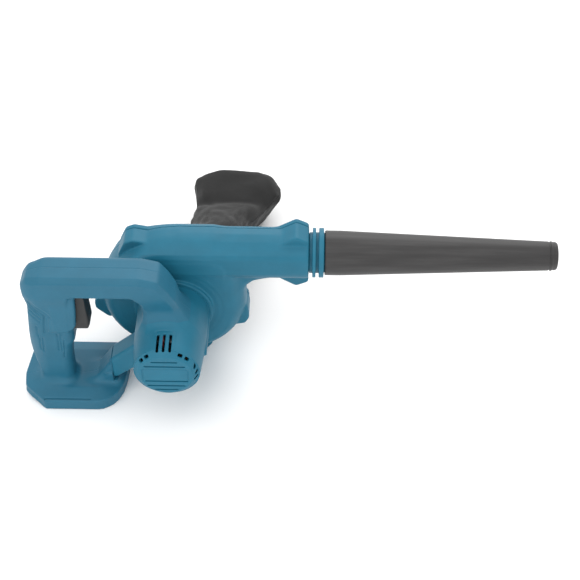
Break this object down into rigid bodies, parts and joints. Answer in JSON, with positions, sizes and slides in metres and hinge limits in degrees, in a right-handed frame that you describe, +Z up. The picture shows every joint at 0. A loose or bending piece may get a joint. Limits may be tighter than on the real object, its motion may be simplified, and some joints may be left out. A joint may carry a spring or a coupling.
{
  "type": "cordless leaf blower",
  "caption": "Compact cordless leaf blower with a teal scroll housing, grip handle, motor barrel, tapered dark nozzle and a soft black dust bag on its air intake.",
  "frame": {"origin": "middle of the bounding box's underside, on the ground the blower stands on", "axes": "+X along the outlet duct and nozzle, in the direction of the air flow; +Y from the motor end towards the air intake and its bag, along the fan's axis; +Z up along the grip"},
  "size_m": [0.525, 0.3324, 0.1665],
  "materials": {
    "housing_plastic": "satin",
    "nozzle_plastic": "satin",
    "trigger_plastic": "satin",
    "black_plastic": "satin",
    "bag_fabric": "matte",
    "band_rubber": "matte",
    "bright_steel": "satin",
    "zinc_steel": "satin",
    "copper": "satin",
    "brass": "satin",
    "magnet_ferrite": "matte",
    "brush_carbon": "matte",
    "red_insulation": "satin",
    "black_insulation": "satin"
  },
  "bodies": {
    "blower_body": {"volute_motor_side": "housing_plastic", "volute_intake_side": "housing_plastic", "outlet_spigot": "housing_plastic", "motor_barrel": "housing_plastic", "motor_end_cap": "housing_plastic", "handle_shell_near": "housing_plastic", "handle_shell_far": "housing_plastic", "intake_guard": "black_plastic", "switch_body": "black_plastic", "battery_terminal_block": "black_plastic", "brush_card": "black_plastic", "motor_can": "bright_steel", "front_bearing": "bright_steel", "rear_bearing": "bright_steel", "brush_spring_left": "bright_steel", "brush_spring_right": "bright_steel", "volute_screw_1": "zinc_steel", "volute_screw_2": "zinc_steel", "volute_screw_3": "zinc_steel", "volute_screw_4": "zinc_steel", "volute_screw_5": "zinc_steel", "volute_screw_6": "zinc_steel", "handle_screw_1": "zinc_steel", "handle_screw_2": "zinc_steel", "handle_screw_3": "zinc_steel", "handle_screw_4": "zinc_steel", "barrel_screw_1": "zinc_steel", "barrel_screw_2": "zinc_steel", "barrel_screw_3": "zinc_steel", "terminal_blade_negative": "brass", "terminal_blade_signal": "brass", "terminal_blade_positive": "brass", "brush_tube_left": "brass", "brush_tube_right": "brass", "magnet_upper": "magnet_ferrite", "magnet_lower": "magnet_ferrite", "brush_left": "brush_carbon", "brush_right": "brush_carbon", "lead_base_to_switch_positive": "red_insulation", "lead_switch_to_motor_positive": "red_insulation", "lead_base_to_switch_negative": "black_insulation", "lead_switch_to_motor_negative": "black_insulation"},
    "rotor": {"impeller": "black_plastic", "impeller_washer": "zinc_steel", "impeller_nut": "zinc_steel", "motor_shaft": "bright_steel", "armature_core": "zinc_steel", "armature_windings": "copper", "commutator": "copper", "cooling_fan": "black_plastic"},
    "trigger_lever": {"trigger": "trigger_plastic"},
    "nozzle_tube": {"nozzle": "nozzle_plastic"},
    "bag_assembly": {"bag_collar": "black_plastic", "bag_band": "band_rubber", "dust_bag": "bag_fabric"}
  },
  "joints": [
    {"name": "fan_spin", "type": "hinge", "parent": "blower_body", "child": "rotor", "pos_m": [-0.11035, -0.05585, 0.08], "axis": [0, 1, 0], "continuous": true},
    {"name": "trigger_pull", "type": "slide", "parent": "blower_body", "child": "trigger_lever", "axis": [-1, 0, 0], "range_m": [0, 0.006], "stiffness_N_per_m": 800, "springref_m": -0.004},
    {"name": "nozzle_pull_off", "type": "slide", "parent": "blower_body", "child": "nozzle_tube", "axis": [1, 0, 0], "range_m": [0, 0.035]},
    {"name": "bag_pull_off", "type": "slide", "parent": "blower_body", "child": "bag_assembly", "axis": [0, 1, 0], "range_m": [0, 0.03]}
  ]
}
